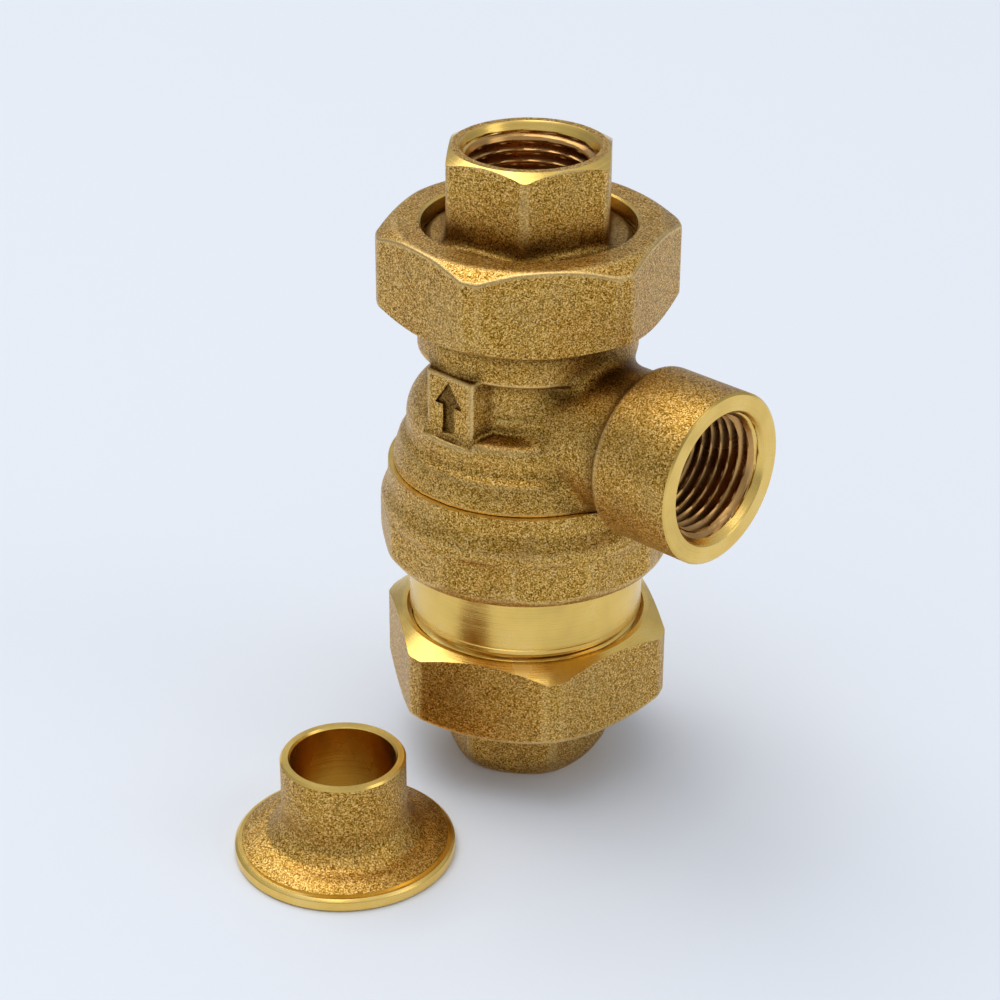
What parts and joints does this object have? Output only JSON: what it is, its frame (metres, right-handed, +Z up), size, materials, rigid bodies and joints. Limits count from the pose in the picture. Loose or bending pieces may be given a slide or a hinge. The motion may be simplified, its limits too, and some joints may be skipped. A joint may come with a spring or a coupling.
{
  "type": "dual check backflow preventer",
  "caption": "Cast brass dual-check backflow preventer with an atmospheric vent port, hexagon union ends and a spare solder tailpiece.",
  "frame": {"origin": "centre of the footprint of the valve and its spare tailpiece, on the surface they stand on", "axes": "+Z up along the valve's axis with the flow, +X out of the vent port, -Y out of the flow arrow pad"},
  "size_m": [0.0636, 0.0856, 0.1075],
  "materials": {
    "cast_brass": "bead-blasted cast and forged brass with bright machined faces",
    "machined_brass": "turned bright brass",
    "spring_steel": "drawn stainless wire and mesh",
    "rubber": "moulded black rubber",
    "gasket_fibre": "pressed fibre gasket sheet",
    "acetal": "moulded natural acetal"
  },
  "bodies": {
    "valve_body": {"outlet_body": "cast_brass", "inlet_body": "cast_brass", "body_o_ring": "rubber", "outlet_gasket": "gasket_fibre", "inlet_gasket": "gasket_fibre", "strainer_ring": "machined_brass", "strainer_screen": "spring_steel", "vent_seat_tube": "machined_brass", "vent_spring": "spring_steel", "diaphragm": "rubber", "outlet_check_seat": "machined_brass", "outlet_check_guide": "acetal", "outlet_check_spring": "spring_steel", "outlet_snap_ring": "spring_steel"},
    "outlet_tail": {"outlet_tailpiece": "cast_brass"},
    "outlet_nut": {"outlet_union_nut": "cast_brass"},
    "inlet_tail": {"inlet_tailpiece": "cast_brass"},
    "inlet_nut": {"inlet_union_nut": "cast_brass"},
    "vent_carrier": {"vent_piston": "machined_brass", "diaphragm_clamp_ring": "machined_brass", "vent_seal_ring": "rubber", "inlet_check_guide": "acetal", "inlet_check_spring": "spring_steel"},
    "inlet_poppet": {"inlet_check_poppet": "acetal", "inlet_check_seal": "rubber"},
    "outlet_poppet": {"outlet_check_poppet": "acetal", "outlet_check_seal": "rubber"},
    "solder_tail": {"solder_tailpiece": "cast_brass"}
  },
  "joints": [
    {"name": "outlet_tail_lift", "type": "slide", "parent": "valve_body", "child": "outlet_tail", "axis": [0, 0, 1], "range_m": [0, 0.0075]},
    {"name": "outlet_nut_turn", "type": "hinge", "parent": "outlet_tail", "child": "outlet_nut", "pos_m": [-0.008, 0.01873, 0.088], "axis": [0, 0, 1], "range_deg": [0, 1801]},
    {"name": "inlet_tail_drop", "type": "slide", "parent": "valve_body", "child": "inlet_tail", "axis": [0, 0, -1], "range_m": [0, 0.0075]},
    {"name": "inlet_nut_turn", "type": "hinge", "parent": "inlet_tail", "child": "inlet_nut", "pos_m": [-0.008, 0.01873, 0.0195], "axis": [0, 0, -1], "range_deg": [0, 1801]},
    {"name": "vent_carrier_lift", "type": "slide", "parent": "valve_body", "child": "vent_carrier", "axis": [0, 0, 1], "range_m": [0, 0.0025], "stiffness_N_per_m": 1500, "springref_m": -0.004, "deforming": ["vent_spring", "diaphragm"]},
    {"name": "inlet_check_lift", "type": "slide", "parent": "vent_carrier", "child": "inlet_poppet", "axis": [0, 0, 1], "range_m": [0, 0.004], "stiffness_N_per_m": 150, "springref_m": -0.002, "deforming": ["inlet_check_spring"]},
    {"name": "outlet_check_lift", "type": "slide", "parent": "valve_body", "child": "outlet_poppet", "axis": [0, 0, 1], "range_m": [0, 0.003], "stiffness_N_per_m": 150, "springref_m": -0.002, "deforming": ["outlet_check_spring"]},
    {"name": "solder_tail_pick_up", "type": "slide", "parent": "valve_body", "child": "solder_tail", "axis": [0, 0, 1], "range_m": [0, 0.04]}
  ],
  "couplings": [
    {"joint": "outlet_nut_turn", "follows": "outlet_tail_lift", "rad_per_m": 4188.8},
    {"joint": "inlet_nut_turn", "follows": "inlet_tail_drop", "rad_per_m": 4188.8}
  ]
}
